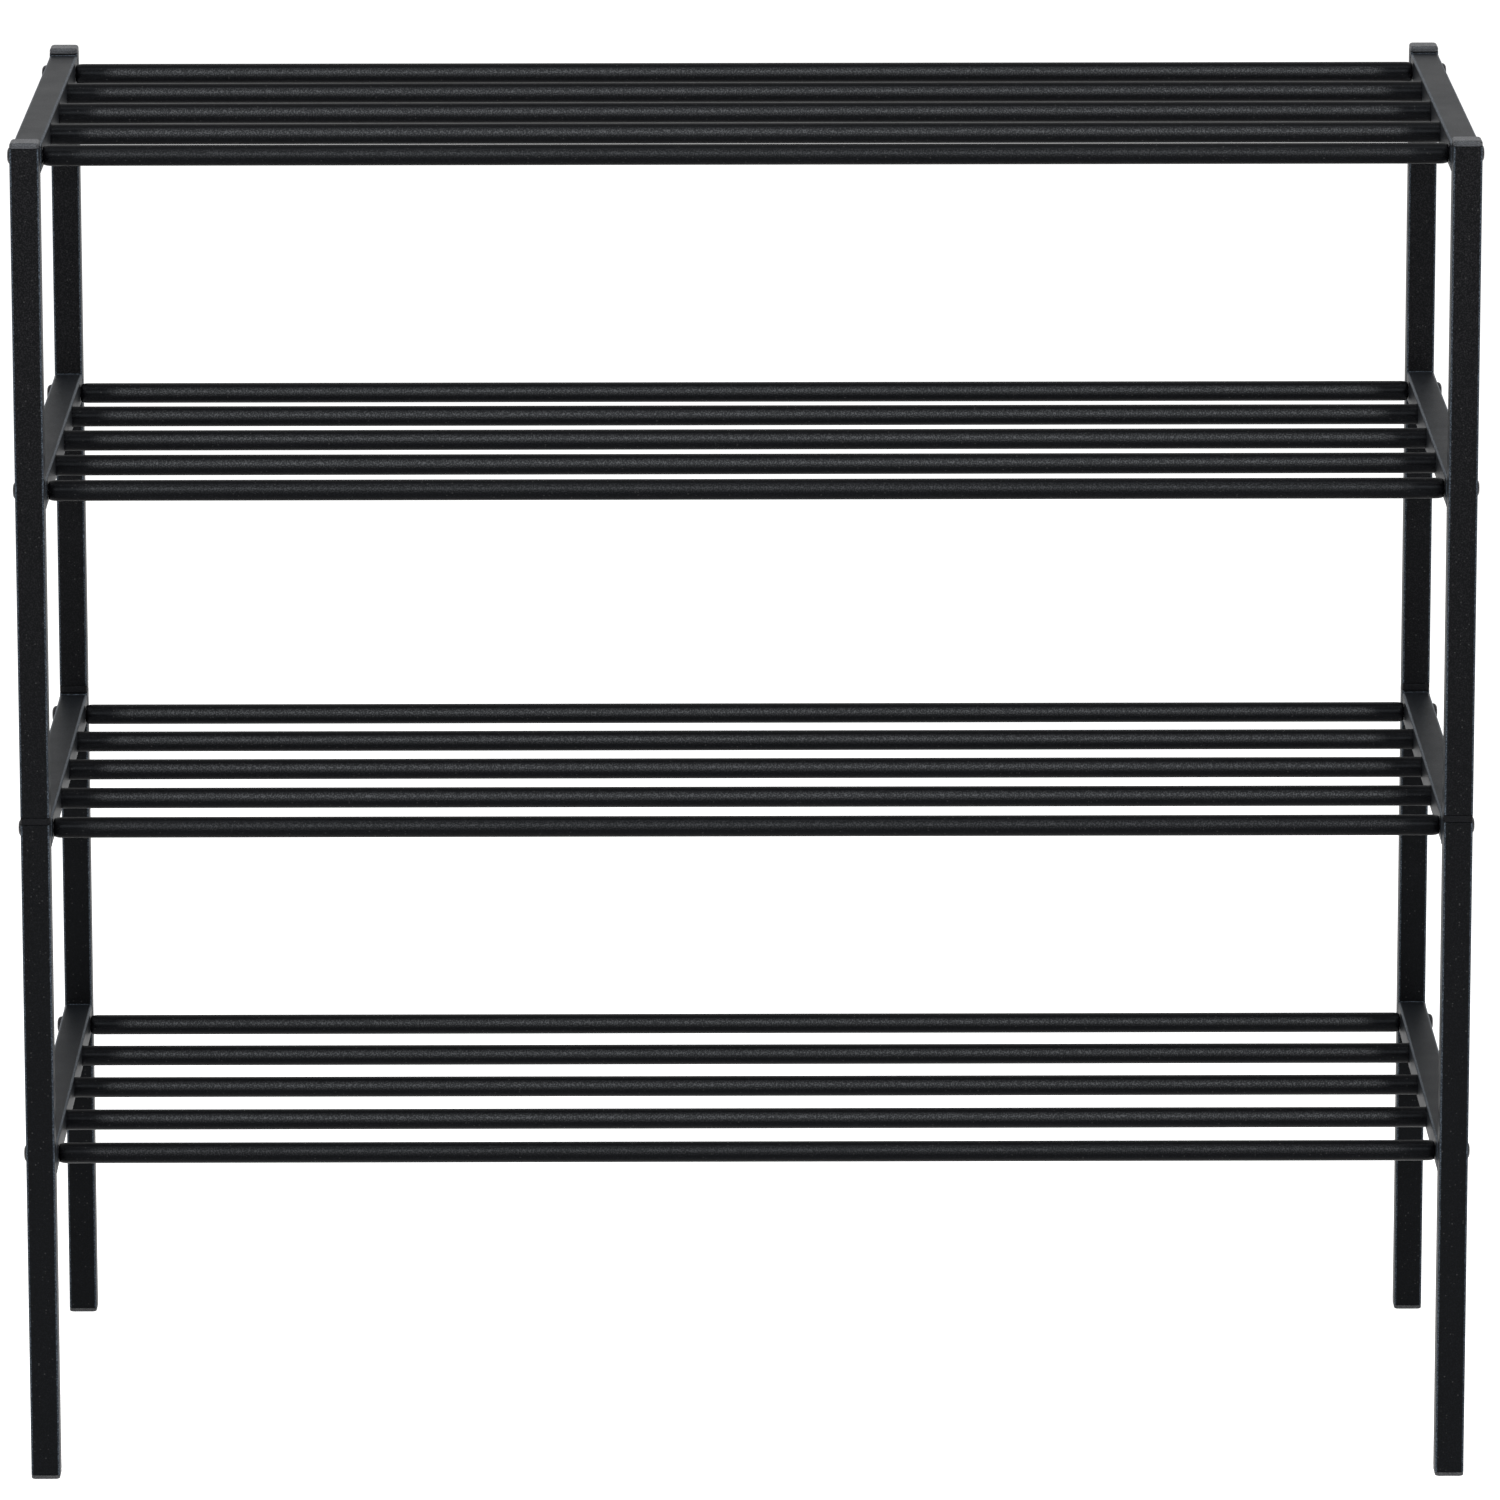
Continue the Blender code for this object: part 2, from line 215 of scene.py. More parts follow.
class RackFinish(bpy.types.PropertyGroup):
    """Colours, gloss and texture of the finishes, and their painted highlights, sheen and shade."""

    frame_colour: FloatVectorProperty(
        name="Frame colour", description="Powder coat of the side frames",
        default=(0.0023, 0.0022, 0.0024), subtype="COLOR",
    )
    # Painted sheen: a lighter coat mixed in at the frames' corners by viewing angle, standing in for a
    # reflection.
    frame_painted_sheen: FloatVectorProperty(
        name="Frame light", description="Coat at the frames' corners",
        default=(0.051, 0.063, 0.078), subtype="COLOR",
    )
    frame_gloss: FloatProperty(
        name="Frame gloss", description="Specular level of the frames' coat and of the couplers",
        default=0.06, subtype="FACTOR",
    )
    frame_roughness: FloatProperty(
        name="Frame roughness", description="Roughness of the frames' coat", default=0.46, subtype="FACTOR"
    )
    rod_colour: FloatVectorProperty(
        name="Rod colour", description="Powder coat of the rods",
        default=(0.0016, 0.0016, 0.0020), subtype="COLOR",
    )
    # Painted highlight: the lighter coat of the band along the rods' upper front, mixed in by viewing
    # angle.
    rod_painted_highlight: FloatVectorProperty(
        name="Rod light", description="Coat in the rods' light band",
        default=(0.033, 0.034, 0.036), subtype="COLOR",
    )
    rod_gloss: FloatProperty(
        name="Rod gloss", description="Specular level of the rods' coat", default=0.05, subtype="FACTOR"
    )
    rod_roughness: FloatProperty(
        name="Rod roughness", description="Roughness of the rods' coat", default=0.36, subtype="FACTOR"
    )
    # How far round the rods the painted highlight band reaches.
    rod_painted_band: FloatProperty(
        name="Rod band", description="How far round the rods the light band reaches",
        default=0.18, precision=3,
    )
    # Raises the painted highlight band on a rod.
    painted_band_lift: FloatProperty(
        name="Band lift", description="How far the light band sits above the middle of a rod", default=0.15
    )
    # Painted shade: the painted highlight band fades out near a rod's ends, where the rails shade it.
    painted_band_stop: FloatProperty(
        name="Band stop", description="How far from a rod's end its light band fades out",
        default=24 * MM, unit="LENGTH",
    )
    # Painted shade: the painted highlight band is weaker on the front rods.
    front_painted_band: FloatProperty(
        name="Front band", description="Share of the light band on the front rods",
        default=0.5, subtype="FACTOR",
    )
    bolt_colour: FloatVectorProperty(
        name="Bolt colour", description="Black coating of the bolts",
        default=(0.018, 0.018, 0.020), subtype="COLOR",
    )
    cap_colour: FloatVectorProperty(
        name="Cap colour", description="Plastic of the top caps",
        default=(0.036, 0.037, 0.040), subtype="COLOR",
    )
    foot_colour: FloatVectorProperty(
        name="Foot colour", description="Plastic of the feet",
        default=(0.045, 0.045, 0.046), subtype="COLOR",
    )
    coupler_colour: FloatVectorProperty(
        name="Coupler colour", description="Plastic of the couplers",
        default=(0.0044, 0.0044, 0.0049), subtype="COLOR",
    )
    plastic_gloss: FloatProperty(
        name="Plastic gloss", description="Specular level of the caps and feet",
        default=0.25, subtype="FACTOR",
    )
    sheen_tint: FloatVectorProperty(
        name="Sheen tint", description="Colour of the coats' reflections",
        default=(0.84, 0.92, 1.0), subtype="COLOR",
    )
    peel_scale: FloatProperty(
        name="Peel scale", description="Bumps of the orange peel in a metre", default=PEEL_SCALE
    )
    peel_depth: FloatProperty(
        name="Peel depth", description="Height of the orange peel",
        default=0.06 * MM, unit="LENGTH", precision=6,
    )
    grain_scale: FloatProperty(
        name="Grain scale", description="Grains of the coat in a metre", default=GRAIN_SCALE
    )


class RackStage(bpy.types.PropertyGroup):
    """Camera, floor and lamps."""

    camera_place: FloatVectorProperty(
        name="Camera place", description="Where the camera stands",
        default=(-0.01638, -5.0345, 1.52269), subtype="TRANSLATION",
    )
    camera_pitch: FloatProperty(
        name="Pitch", description="How far the camera looks down", subtype="ANGLE", default=0.207593
    )
    camera_yaw: FloatProperty(
        name="Yaw", description="How far the camera looks to the right", subtype="ANGLE", default=0.003719
    )
    camera_roll: FloatProperty(
        name="Roll", description="Clockwise tilt of the camera", subtype="ANGLE", default=0.001075
    )
    lens: FloatProperty(
        name="Lens", description="Focal length in millimetres", default=232.884, precision=3
    )
    shift_y: FloatProperty(
        name="Shift", description="Upright shift as a share of the picture", default=-0.13333, precision=5
    )
    floor_colour: FloatVectorProperty(
        name="Floor colour", description="Pale floor", subtype="COLOR", default=(0.8, 0.8, 0.8)
    )
    floor_lift: FloatProperty(
        name="Floor lift", description="Brightness that the floor adds where it is seen", default=0.86
    )
    floor_size: FloatProperty(name="Floor size", description="Side of the floor", default=80, unit="LENGTH")
    ambient: FloatProperty(
        name="Ambient", description="Light of the surroundings on matt surfaces", default=0.3
    )
    lamp_aim: FloatVectorProperty(
        name="Lamp aim", description="Point of the rack that the lamps face",
        default=(0, 0, 0.4), subtype="TRANSLATION",
    )
    key_power: FloatProperty(name="Key power", description="Lamp in front, in watts", default=85)
    key_place: FloatVectorProperty(
        name="Key place", description="Where the front lamp hangs",
        default=(0, -2.6, 1.7), subtype="TRANSLATION",
    )
    key_size: FloatVectorProperty(
        name="Key size", description="Width and height of the front lamp",
        default=(4.0, 0.3), size=2, unit="LENGTH",
    )
    top_power: FloatProperty(name="Top power", description="Lamp overhead, in watts", default=30)
    top_place: FloatVectorProperty(
        name="Top place", description="Where the overhead lamp hangs",
        default=(0, -0.7, 2.8), subtype="TRANSLATION",
    )
    top_size: FloatVectorProperty(
        name="Top size", description="Width and height of the overhead lamp",
        default=(3.0, 0.6), size=2, unit="LENGTH",
    )


# ---------------------------------------------------------------- modelling helpers


def select_only(obj):
    """Make one object the selected and active one."""
    bpy.ops.object.select_all(action="DESELECT")
    obj.select_set(True)
    bpy.context.view_layer.objects.active = obj


def start_edit(obj):
    """Enter edit mode on one object."""
    select_only(obj)
    bpy.ops.object.mode_set(mode="EDIT")


def end_edit():
    """Return to object mode."""
    bpy.ops.object.mode_set(mode="OBJECT")


def pick(obj, kind, test):
    """Select the faces or edges of the edited mesh that pass a test."""
    bpy.ops.mesh.select_mode(type=kind)
    bpy.ops.mesh.select_all(action="DESELECT")
    shape = bmesh.from_edit_mesh(obj.data)
    for item in shape.faces if kind == "FACE" else shape.edges:
        item.select_set(bool(test(item)))
    bmesh.update_edit_mesh(obj.data)


def runs_along(edge, axis):
    """True for an edge that runs along one axis."""
    way = edge.verts[1].co - edge.verts[0].co
    return abs(way[axis]) > ALIGNED * way.length


def lies_at(item, axis, place):
    """True for an edge or face with all its corners at one place along an axis."""
    return all(abs(vert.co[axis] - place) < SAME_PLACE for vert in item.verts)


def new_primitive(name):
    """The object that the last primitive made, named, with its place in its mesh."""
    obj = bpy.context.active_object
    obj.name = name
    bpy.ops.object.transform_apply(location=True, rotation=True, scale=True)
    return obj


def add_box(name, low, high):
    """Cube primitive between two corners."""
    bpy.ops.object.select_all(action="DESELECT")
    centre = (Vector(low) + Vector(high)) / 2
    bpy.ops.mesh.primitive_cube_add(size=1, location=centre, scale=Vector(high) - Vector(low))
    return new_primitive(name)


def add_cross_bar(name, sides, radius, start, stop, y=0, z=0):
    """Cylinder primitive along X."""
    bpy.ops.object.select_all(action="DESELECT")
    bpy.ops.mesh.primitive_cylinder_add(
        vertices=sides,
        radius=radius,
        depth=stop - start,
        location=((start + stop) / 2, y, z),
        rotation=(0, math.pi / 2, 0),
    )
    return new_primitive(name)


def add_tube(name, low, high, axis, sizes):
    """Hollow square tube: a box with rounded long edges, bored from end to end."""
    tube = add_box(name, low, high)
    start_edit(tube)
    pick(tube, "EDGE", lambda edge: runs_along(edge, axis))
    bpy.ops.mesh.bevel(offset=sizes.tube_corner, segments=sizes.corner_steps, affect="EDGES")
    pick(tube, "FACE", lambda face: abs(face.normal[axis]) > ALIGNED)
    bpy.ops.mesh.inset(thickness=sizes.tube_wall, use_even_offset=True)
    bpy.ops.mesh.delete(type="FACE")
    pick(tube, "EDGE", lambda edge: edge.is_boundary)
    bpy.ops.mesh.bridge_edge_loops()
    bpy.ops.mesh.select_all(action="SELECT")
    bpy.ops.mesh.normals_make_consistent(inside=False)
    end_edit()
    return tube


def add_turned(name, profile, steps, closed=False):
    """Turn (along, radius) points about the X axis; a closed profile is a bored piece."""
    bpy.ops.object.select_all(action="DESELECT")
    bpy.ops.mesh.primitive_plane_add(size=1 * MM)
    turned = bpy.context.active_object
    turned.name = name
    start_edit(turned)
    bpy.ops.mesh.select_mode(type="VERT")
    bpy.ops.mesh.select_all(action="SELECT")
    bpy.ops.mesh.merge(type="CENTER")
    first = Vector((profile[0][0], 0, profile[0][1]))
    bpy.ops.transform.translate(value=first)
    for before, after in zip(profile, profile[1:]):
        step = Vector((after[0] - before[0], 0, after[1] - before[1]))
        bpy.ops.mesh.extrude_region_move(TRANSFORM_OT_translate={"value": step})
    bpy.ops.mesh.select_all(action="SELECT")
    if closed:
        bpy.ops.mesh.select_mode(type="VERT")
        shape = bmesh.from_edit_mesh(turned.data)
        for vert in shape.verts:
            vert.select_set(len(vert.link_edges) == 1)
        bmesh.update_edit_mesh(turned.data)
        bpy.ops.mesh.edge_face_add()
        bpy.ops.mesh.select_all(action="SELECT")
    bpy.ops.mesh.spin(steps=steps, angle=2 * math.pi, center=(0, 0, 0), axis=(1, 0, 0))
    bpy.ops.mesh.select_all(action="SELECT")
    bpy.ops.mesh.remove_doubles(threshold=MERGE_DISTANCE)
    bpy.ops.mesh.normals_make_consistent(inside=False)
    end_edit()
    bpy.ops.object.transform_apply(location=True, rotation=True, scale=True)
    return turned


def add_plug_cap(name, height, edge, sizes):
    """Rounded head on Z = 0 with a plug below it."""
    half = cad_tube_side() / 2
    cap = add_box(name, (-half, -half, 0), (half, half, height))
    start_edit(cap)
    pick(cap, "EDGE", lambda edge: runs_along(edge, 2))
    bpy.ops.mesh.bevel(offset=sizes.plastic_corner, segments=PLASTIC_SEGMENTS, affect="EDGES")
    pick(cap, "EDGE", lambda edge: lies_at(edge, 2, height))
    bpy.ops.mesh.bevel(offset=edge, segments=PLASTIC_SEGMENTS, affect="EDGES")
    pick(cap, "FACE", lambda face: face.normal.z < -ALIGNED)
    bpy.ops.mesh.inset(thickness=sizes.tube_wall + sizes.clearance)
    bpy.ops.mesh.extrude_region_move(TRANSFORM_OT_translate={"value": (0, 0, -sizes.plug_reach)})
    bpy.ops.mesh.bevel(offset=PLUG_BEVEL, segments=1, affect="EDGES")
    end_edit()
    return cap


def combine(base, other, operation):
    """Add or cut another object and remove it."""
    modifier = base.modifiers.new("combine", "BOOLEAN")
    modifier.operation = operation
    modifier.solver = "EXACT"
    modifier.object = other
    select_only(base)
    bpy.ops.object.modifier_apply(modifier=modifier.name)
    remove(other)


def join(objects):
    """Join objects into the first one."""
    bpy.ops.object.select_all(action="DESELECT")
    for obj in objects:
        obj.select_set(True)
    bpy.context.view_layer.objects.active = objects[0]
    bpy.ops.object.join()
    return objects[0]


def smooth(obj, degrees=35):
    """Round shading over shallow edges, with flat faces kept flat."""
    select_only(obj)
    bpy.ops.object.shade_smooth_by_angle(angle=math.radians(degrees))
    modifier = obj.modifiers.new("even_shading", "WEIGHTED_NORMAL")
    modifier.keep_sharp = True
    bpy.ops.object.modifier_apply(modifier=modifier.name)


def remove(obj):
    """Delete an object that is used up."""
    bpy.data.objects.remove(obj, do_unlink=True)


# ---------------------------------------------------------------- placing


def half_turn(turned):
    """Half a turn about Z, or none."""
    return Matrix.Rotation(math.pi if turned else 0.0, 4, "Z")


def place_copy(master, name, placing):
    """Copy a modelled piece, with its own mesh and its place in that mesh."""
    copy = master.copy()
    copy.data = master.data.copy()
    copy.name = name
    copy.data.name = name
    copy.data.transform(placing)
    bpy.context.collection.objects.link(copy)
    return copy


def finish_piece(piece, material, slot, *nodes):
    """Dress a piece, hang it on the body and let it stand for its nodes."""
    piece.data.materials.clear()
    piece.data.materials.append(material)
    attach(piece, BODY)
    if nodes:
        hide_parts(*nodes)


def place_on_frames(master, label, material, replacing):
    """Copy what was modelled on the lower left frame to all four, for their nodes or beside them."""
    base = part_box("lower_left_frame")[0].z
    for section in SECTIONS:
        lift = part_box(f"{section}_left_frame")[0].z - base
        for side in SIDES:
            placing = Matrix.Translation((0, 0, lift)) @ half_turn(side == "right")
            piece = place_copy(master, f"{label}_{section}_{side}", placing)
            nodes = (f"{section}_{side}_frame",) if replacing else ()
            finish_piece(piece, material, "frame_powder_coat", *nodes)
    remove(master)


def place_on_posts(master, label, material, slot, kind, z, turn=Matrix()):
    """Copy a plastic piece to the four posts, each for the node of its kind."""
    for end in ENDS:
        for side in SIDES:
            node = f"{end}_{side}_{kind}"
            centre = middle(node)
            placing = Matrix.Translation((centre.x, centre.y, z)) @ turn
            piece = place_copy(master, f"{label}_{end}_{side}", placing)
            finish_piece(piece, material, slot, node)
    remove(master)


# ---------------------------------------------------------------- shader helpers


def add_node(tree, kind, place, **settings):
    """New shader node with its settings and, by name, its input values."""
    node = tree.nodes.new(kind)
    node.location = place
    for key, value in settings.items():
        if key in node.inputs:
            node.inputs[key].default_value = value
        else:
            setattr(node, key, value)
    return node


def computed(tree, place, operation, *values):
    """Result of a sum on outputs of other nodes and plain numbers."""
    node = add_node(tree, "ShaderNodeMath", place, operation=operation)
    for socket, value in zip(node.inputs, values):
        if isinstance(value, (int, float)):
            socket.default_value = value
        else:
            tree.links.new(value, socket)
    return node.outputs[0]


def mapped(tree, place, value, limits=(0.0, 1.0), results=(0.0, 1.0), **settings):
    """Value moved from its limits to a pair of results and held between them."""
    node = add_node(tree, "ShaderNodeMapRange", place, **settings)
    for name, number in zip(("From Min", "From Max", "To Min", "To Max"), (*limits, *results)):
        node.inputs[name].default_value = number
    tree.links.new(value, node.inputs["Value"])
    return node.outputs["Result"]


def blended(tree, place, share, first, second):
    """Two colours, each plain or from another node, mixed by a share."""
    node = add_node(tree, "ShaderNodeMix", place, data_type="RGBA")
    tree.links.new(share, node.inputs["Factor"])
    for name, colour in (("A", first), ("B", second)):
        if isinstance(colour, tuple):
            node.inputs[name].default_value = colour
        else:
            tree.links.new(colour, node.inputs[name])
    return node.outputs["Result"]


def place_parts(tree, place):
    """X, Y and Z of the shaded point in the object's own coordinates."""
    coordinates = add_node(tree, "ShaderNodeTexCoord", (place[0] - 200, place[1]))
    parts = add_node(tree, "ShaderNodeSeparateXYZ", place)
    tree.links.new(coordinates.outputs["Object"], parts.inputs["Vector"])
    return parts.outputs


def toned(colour, factor):
    """Colour times a factor, with alpha."""
    return (*[part * factor for part in colour], 1)


def new_material(name):
    """Empty material with its node tree and its Principled shader."""
    material = bpy.data.materials.new(name)
    material.use_nodes = True
    return material, material.node_tree, material.node_tree.nodes["Principled BSDF"]


# ---------------------------------------------------------------- materials


def coat_group():
    """Node group: orange peel, light grains, mottling and stray specks of a coat."""
    name = "powder_coat_texture"
    if name in bpy.data.node_groups:
        return bpy.data.node_groups[name]
    tree = bpy.data.node_groups.new(name, "ShaderNodeTree")
    scales = {"Peel Scale": PEEL_SCALE, "Grain Scale": GRAIN_SCALE, "Speck Scale": SPECK_SCALE}
    for socket, default in scales.items():
        item = tree.interface.new_socket(socket, in_out="INPUT", socket_type="NodeSocketFloat")
        item.default_value = default
    for socket in ("Height", "Grain", "Specks", "Mottle"):
        tree.interface.new_socket(socket, in_out="OUTPUT", socket_type="NodeSocketFloat")
    entry = add_node(tree, "NodeGroupInput", (-900, 0))
    leave = add_node(tree, "NodeGroupOutput", (600, 0))
    coordinates = add_node(tree, "ShaderNodeTexCoord", (-900, 300))
    peel = add_node(tree, "ShaderNodeTexNoise", (-600, 500), Detail=2.0, Roughness=0.6)
    grain = add_node(tree, "ShaderNodeTexNoise", (-600, 250), Detail=1.0, Roughness=0.5)
    mottle = add_node(tree, "ShaderNodeTexNoise", (-600, 0), Scale=MOTTLE_SCALE, Detail=3.0)
    specks = add_node(tree, "ShaderNodeTexVoronoi", (-600, -300), Randomness=1.0)
    cell = add_node(tree, "ShaderNodeSeparateColor", (-450, -500))
    links = tree.links
    for texture in (peel, grain, mottle, specks):
        links.new(coordinates.outputs["Object"], texture.inputs["Vector"])
    for socket, texture in zip(scales, (peel, grain, specks)):
        links.new(entry.outputs[socket], texture.inputs["Scale"])
    links.new(specks.outputs["Color"], cell.inputs["Color"])
    chance = mapped(tree, (-300, -450), cell.outputs["Red"], SPECK_CHANCE)
    inside = computed(tree, (-300, -250), "LESS_THAN", specks.outputs["Distance"], SPECK_RADIUS)
    speck = computed(tree, (0, -300), "MULTIPLY", inside, chance)
    light_grain = mapped(
        tree, (-300, 250), grain.outputs["Fac"], GRAIN_RANGE, interpolation_type="SMOOTHSTEP"
    )
    links.new(peel.outputs["Fac"], leave.inputs["Height"])
    links.new(light_grain, leave.inputs["Grain"])
    links.new(speck, leave.inputs["Specks"])
    links.new(mottle.outputs["Fac"], leave.inputs["Mottle"])
    return tree


@dataclass
class Coat:
    """Values of one coat.

    The light colour is a painted highlight or sheen: it comes in as the surface turns from one facing value
    to the other.
    The tones and grains are shares of the colour and of the painted light, at their darkest
    and lightest.  The falloff narrows the painted light, and the lift raises the painted band on a rod.
    """

    colour: tuple
    # painted highlight or sheen, mixed into the colour by viewing angle
    light: tuple
    facing_from: float
    facing_to: float
    speck: float
    roughness: float
    gloss: float
    peel_depth: float
    tone_low: float = 0.6
    tone_high: float = 2.4
    grain_low: float = 0.5
    grain_high: float = 1.9
    falloff: float = 1.0
    # raises the painted highlight band on a rod
    painted_band_lift: float = 0.0


def coated_material(name, finish, coat, reach=None, painted_shade=None):
    """Powder coat or moulded plastic: grained colour, painted highlight or sheen, uneven gloss, fine peel.

    The reach, where there is one, says where the painted light shows, and the painted shade where the grain
    does.
    """
    material, tree, shader = new_material(name)
    links = tree.links
    texture = add_node(tree, "ShaderNodeGroup", (-1100, 0), node_tree=coat_group())
    texture.inputs["Peel Scale"].default_value = finish.peel_scale
    texture.inputs["Grain Scale"].default_value = finish.grain_scale
    bump = add_node(tree, "ShaderNodeBump", (-800, -300), Strength=1.0, Distance=coat.peel_depth)
    # Painted highlight: the bumped normal, lowered by the lift, feeds Layer Weight, whose facing mixes the
    # light colour in.
    lowered = add_node(tree, "ShaderNodeVectorMath", (-700, 600), operation="ADD")
    lowered.inputs[1].default_value = (0, 0, -coat.painted_band_lift)
    unit = add_node(tree, "ShaderNodeVectorMath", (-650, 750), operation="NORMALIZE")
    weight = add_node(tree, "ShaderNodeLayerWeight", (-600, 600), Blend=0.5)
    links.new(texture.outputs["Height"], bump.inputs["Height"])
    links.new(bump.outputs["Normal"], lowered.inputs[0])
    links.new(lowered.outputs[0], unit.inputs[0])
    links.new(unit.outputs[0], weight.inputs["Normal"])

    facing = (coat.facing_from, coat.facing_to)
    turned = mapped(tree, (-400, 600), weight.outputs["Facing"], facing)
    lit = computed(tree, (-300, 600), "POWER", turned, coat.falloff)
    if reach:
        lit = reach(tree, lit)
    grain = texture.outputs["Grain"]
    # On the frames the grain thins towards the floor, a painted shade.
    dark_grain = painted_shade(tree, grain) if painted_shade else grain
    dark = (toned(coat.colour, coat.tone_low), toned(coat.colour, coat.tone_high))
    light = (toned(coat.light, coat.grain_low), toned(coat.light, coat.grain_high))
    dark_coat = blended(tree, (-650, 300), dark_grain, *dark)
    painted_highlight_coat = blended(tree, (-650, 100), grain, *light)
    # Painted highlight or sheen: the light coat is mixed into Base Color by viewing angle.
    grained = blended(tree, (-450, 300), lit, dark_coat, painted_highlight_coat)
    speck_colour = (coat.speck, coat.speck, coat.speck, 1)
    speckled = blended(tree, (-250, 300), texture.outputs["Specks"], grained, speck_colour)
    spread = (coat.roughness - ROUGHNESS_SPREAD, coat.roughness + ROUGHNESS_SPREAD)
    sheen = mapped(tree, (-500, 0), texture.outputs["Mottle"], results=spread)
    links.new(speckled, shader.inputs["Base Color"])
    links.new(sheen, shader.inputs["Roughness"])
    links.new(bump.outputs["Normal"], shader.inputs["Normal"])
    shader.inputs["Specular IOR Level"].default_value = coat.gloss
    shader.inputs["Specular Tint"].default_value = (*finish.sheen_tint, 1)
    return material


def frame_material(finish, name="frame_coat_painted_sheen", depth_share=0.6):
    """Powder coat of the side frames, with painted sheen: lighter at its corners as it turns away from the
    view, and painted shade low down.
    """
    coat = Coat(
        colour=finish.frame_colour,
        light=finish.frame_painted_sheen,
        facing_from=0.022,
        facing_to=0.16,
        speck=0.03,
        roughness=finish.frame_roughness,
        gloss=finish.frame_gloss,
        peel_depth=finish.peel_depth * depth_share,
        tone_high=4.5,
    )
    return coated_material(name, finish, coat, painted_sheen_on_corners, grain_with_painted_floor_shade)


def grain_with_painted_floor_shade(tree, grain):
    """Painted shade: the grain of the frames' coat fades towards the floor, so they are darker low down."""
    height = place_parts(tree, (-1100, -600))["Z"]
    share = mapped(tree, (-900, -600), height, GRAIN_SHADE_HEIGHTS, GRAIN_SHADE_SHARES)
    return computed(tree, (-700, -600), "MULTIPLY", share, grain)


def painted_sheen_on_corners(tree, light):
    """The painted sheen of a frame shows at its rounded corners and hardly on its flat faces."""
    surface = add_node(tree, "ShaderNodeNewGeometry", (-1300, 900))
    positive = add_node(tree, "ShaderNodeVectorMath", (-1100, 900), operation="ABSOLUTE")
    parts = add_node(tree, "ShaderNodeSeparateXYZ", (-900, 900))
    tree.links.new(surface.outputs["Normal"], positive.inputs[0])
    tree.links.new(positive.outputs[0], parts.inputs["Vector"])
    level = computed(tree, (-700, 1000), "MAXIMUM", parts.outputs["X"], parts.outputs["Y"])
    flat = computed(tree, (-500, 1000), "MAXIMUM", level, parts.outputs["Z"])
    share = mapped(tree, (-300, 1000), flat, FLATNESS, CORNER_SHEEN_SHARES)
    return computed(tree, (-100, 900), "MULTIPLY", share, light)


def rod_material(finish):
    """Powder coat of the rods, with a painted highlight: a soft lighter band along their upper front."""
    coat = Coat(
        colour=finish.rod_colour,
        light=finish.rod_painted_highlight,
        facing_from=finish.rod_painted_band,
        facing_to=0.0,
        falloff=2.5,
        painted_band_lift=finish.painted_band_lift,
        speck=0.024,
        roughness=finish.rod_roughness,
        gloss=finish.rod_gloss,
        peel_depth=finish.peel_depth,
    )
    return coated_material("rod_coat_painted_highlight", finish, coat, lambda tree, band: painted_band_reach(tree, finish, band))


def painted_band_reach(tree, finish, band):
    """The painted highlight band fades out short of the rails, painted shade where they block the light,
    and is dimmer on the front rods, painted shade too.
    """
    rod = middle("tier_1_rod_1")
    rail = rod.x + extent("tier_1_rod_1").x / 2
    stop = (rail - finish.painted_band_stop, rail - finish.painted_band_stop / 2)
    zone = (rod.y + PAINTED_BAND_FRONT_ZONE[0], rod.y + PAINTED_BAND_FRONT_ZONE[1])
    parts = place_parts(tree, (-1100, 900))
    along = computed(tree, (-900, 1000), "ABSOLUTE", parts["X"])
    ends = mapped(tree, (-700, 1000), along, stop, (1.0, 0.0), interpolation_type="SMOOTHSTEP")
    depth = mapped(tree, (-700, 750), parts["Y"], zone, (finish.front_painted_band, 1.0))
    share = computed(tree, (-500, 900), "MULTIPLY", ends, depth)
    return computed(tree, (-300, 800), "MULTIPLY", share, band)


def plastic_material(name, finish, colour, roughness, gloss):
    """Moulded plastic with a fine matt skin and painted sheen, lighter where it turns away from the view.
    """
    coat = Coat(
        colour=colour,
        light=toned(colour, 1.6)[:3],
        facing_from=0.05,
        facing_to=0.6,
        speck=colour[1] * 2,
        tone_low=0.8,
        tone_high=1.5,
        roughness=roughness,
        gloss=gloss,
        peel_depth=finish.peel_depth,
    )
    return coated_material(name, finish, coat)


def bolt_material(finish):
    """Glossy black coating with faint turning marks."""
    material, tree, shader = new_material("bolt_black")
    links = tree.links
    coordinates = add_node(tree, "ShaderNodeTexCoord", (-900, 0))
    noise = add_node(tree, "ShaderNodeTexNoise", (-700, 0), Scale=BOLT_MARK_SCALE, Detail=2.0)
    bump = add_node(tree, "ShaderNodeBump", (-300, -300), Strength=0.5, Distance=BOLT_MARK_DEPTH)
    links.new(coordinates.outputs["Object"], noise.inputs["Vector"])
    marks = noise.outputs["Fac"]
    sheen = mapped(tree, (-450, 0), marks, results=BOLT_ROUGHNESS)
    tones = [toned(finish.bolt_colour, factor) for factor in BOLT_TONES]
    links.new(marks, bump.inputs["Height"])
    links.new(blended(tree, (-300, 250), marks, *tones), shader.inputs["Base Color"])
    links.new(sheen, shader.inputs["Roughness"])
    links.new(bump.outputs["Normal"], shader.inputs["Normal"])
    shader.inputs["Metallic"].default_value = 0.9
    return material


def seen_mask(tree):
    """1 for rays from the camera, from gloss and through glass, 0 for all others."""
    rays = add_node(tree, "ShaderNodeLightPath", (-900, -300)).outputs
    first = computed(tree, (-650, -300), "MAXIMUM", rays["Is Camera Ray"], rays["Is Glossy Ray"])
    return computed(tree, (-450, -300), "MAXIMUM", first, rays["Is Transmission Ray"])


